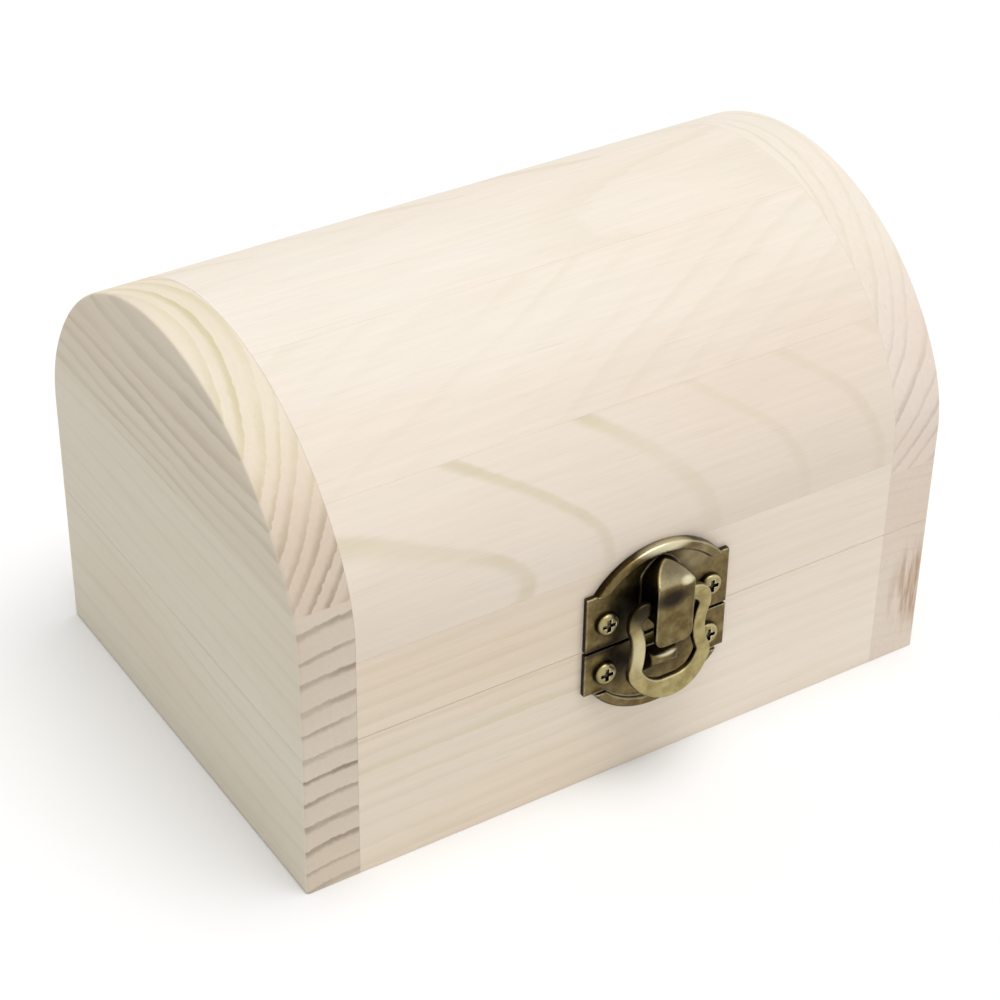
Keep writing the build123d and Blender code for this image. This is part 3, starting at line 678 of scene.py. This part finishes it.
class CHEST_OT_hasp(Operator):
    """Finishes the hasp plate, the loop and the catch plate"""

    bl_idname = "chest.hasp"
    bl_label = "Hasp"

    def execute(self, context):
        bronze = context.scene.chest_bronze
        plate = antique_bronze(
            "plate bronze", bronze, bronze.plating, bronze.olive, painted_light=HASP_PAINTED_LIGHT
        )
        loop = antique_bronze("loop bronze", bronze, bronze.loop, bronze.brass, painted_light=LOOP_PAINTED_LIGHT)
        tumbled("hasp_plate", plate, **PLATE_TUMBLING)
        tumbled("catch_plate", plate, **PLATE_TUMBLING)
        tumbled("hasp_loop", loop, **LOOP_TUMBLING)
        return {"FINISHED"}


class CHEST_OT_hinges(Operator):
    """Finishes the butt hinges and their pins"""

    bl_idname = "chest.hinges"
    bl_label = "Hinges"

    def execute(self, context):
        bronze = context.scene.chest_bronze
        hinge = antique_bronze("hinge bronze", bronze, bronze.plating, bronze.olive)
        for name in PRESSED:
            if name.startswith("hinge"):
                tumbled(name, hinge, **LEAF_TUMBLING)
        dress("hinge_left_pin", hinge)
        dress("hinge_right_pin", hinge)
        return {"FINISHED"}


class CHEST_OT_screws(Operator):
    """Finishes all screws"""

    bl_idname = "chest.screws"
    bl_label = "Screws"

    def execute(self, context):
        bronze = context.scene.chest_bronze
        screw = antique_bronze("screw bronze", bronze, bronze.loop, bronze.brass, edge=SCREW_EDGE)
        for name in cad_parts:
            if name.endswith("screws"):
                dress(name, screw)
        return {"FINISHED"}


def camera_directions(azimuth, elevation, roll):
    """Right, up and back of a camera that looks down at the chest."""
    back = Vector((sin(azimuth) * cos(elevation), -cos(azimuth) * cos(elevation), sin(elevation)))
    level = Vector((0, 0, 1)).cross(back).normalized()
    upright = back.cross(level)
    right = level * cos(roll) + upright * sin(roll)
    up = upright * cos(roll) - level * sin(roll)
    return right, up, back


class CHEST_OT_stage(Operator):
    """Adds the camera, the light and a white floor"""

    bl_idname = "chest.stage"
    bl_label = "Stage"

    def execute(self, context):
        stage = context.scene.chest_stage
        self.add_camera(context, stage)
        self.add_floor(context, stage)
        self.add_key_light(context, stage)
        self.add_sky(context, stage)
        context.scene.view_settings.view_transform = "Standard"
        return {"FINISHED"}

    def add_camera(self, context, stage):
        camera = bpy.data.objects.new("camera", bpy.data.cameras.new("camera"))
        camera.data.sensor_width = SENSOR
        camera.data.lens = stage.lens
        camera.data.clip_start, camera.data.clip_end = 0.01, 20.0
        right, up, back = camera_directions(stage.azimuth, stage.elevation, stage.roll)
        place = Vector(stage.target) + stage.distance * back
        turned = Matrix((right, up, back)).transposed().to_4x4()
        camera.matrix_world = Matrix.Translation(place) @ turned
        context.scene.collection.objects.link(camera)
        context.scene.camera = camera

    def add_floor(self, context, stage):
        half = stage.floor_size / 2
        level = -FLOOR_DROP * MM
        corners = [
            (-half, -half, level), (half, -half, level), (half, half, level), (-half, half, level),
        ]
        mesh = bpy.data.meshes.new("floor")
        mesh.from_pydata(corners, [], [(0, 1, 2, 3)])
        floor = bpy.data.objects.new("floor", mesh)
        material, _, shader = new_material("floor")
        shader.inputs["Base Color"].default_value = colour(stage.floor_colour)
        shader.inputs["Roughness"].default_value = 0.9
        shader.inputs["Specular IOR Level"].default_value = 0.0
        mesh.materials.append(material)
        context.scene.collection.objects.link(floor)

    def add_key_light(self, context, stage):
        key = bpy.data.objects.new("key light", bpy.data.lights.new("key light", "SUN"))
        key.data.energy = stage.key
        key.data.angle = stage.softness
        key.rotation_euler = Vector(KEY_LIGHT_FROM).to_track_quat("Z", "Y").to_euler()
        context.scene.collection.objects.link(key)

    def add_sky(self, context, stage):
        """Even light on the chest, and plain white for the camera and for reflections."""
        world = bpy.data.worlds.new("white studio")
        context.scene.world = world
        world.use_nodes = True
        tree = world.node_tree
        tree.nodes.clear()
        path = node(tree, "ShaderNodeLightPath").outputs
        reflected = maths(tree, "MAXIMUM", path["Is Glossy Ray"], path["Is Transmission Ray"])
        seen = maths(tree, "MAXIMUM", path["Is Camera Ray"], reflected)
        white = {
            "Color": (1, 1, 1, 1), "Strength": remap(tree, seen, (0.0, 1.0), (stage.sky, 1.0)),
        }
        background = node(tree, "ShaderNodeBackground", white)
        node(tree, "ShaderNodeOutputWorld", {"Surface": background.outputs[0]})


class CHEST_PT_panel(Panel):
    """Lists the chest's settings and steps"""

    bl_idname = "CHEST_PT_panel"
    bl_label = "Treasure chest"
    bl_space_type = "VIEW_3D"
    bl_region_type = "UI"
    bl_category = "Treasure chest"

    def draw(self, context):
        for group_name in GROUPS:
            group = getattr(context.scene, group_name)
            box = self.layout.box()
            for name in group.bl_rna.properties.keys():
                if name not in ("rna_type", "name"):
                    box.prop(group, name)
        for operator in OPERATORS:
            self.layout.operator(operator.bl_idname)


GROUPS = {"chest_wood": ChestWood, "chest_bronze": ChestBronze, "chest_stage": ChestStage}
OPERATORS = (CHEST_OT_boards, CHEST_OT_hasp, CHEST_OT_hinges, CHEST_OT_screws, CHEST_OT_stage)
CLASSES = (*GROUPS.values(), *OPERATORS, CHEST_PT_panel)


def register():
    for made in CLASSES:
        bpy.utils.register_class(made)
    for name, group in GROUPS.items():
        setattr(bpy.types.Scene, name, PointerProperty(type=group))


def unregister():
    for name in GROUPS:
        delattr(bpy.types.Scene, name)
    for made in reversed(CLASSES):
        bpy.utils.unregister_class(made)


def main():
    register()
    bpy.ops.chest.boards()
    bpy.ops.chest.hasp()
    bpy.ops.chest.hinges()
    bpy.ops.chest.screws()
    bpy.ops.chest.stage()


if __name__ == "__main__":
    main()
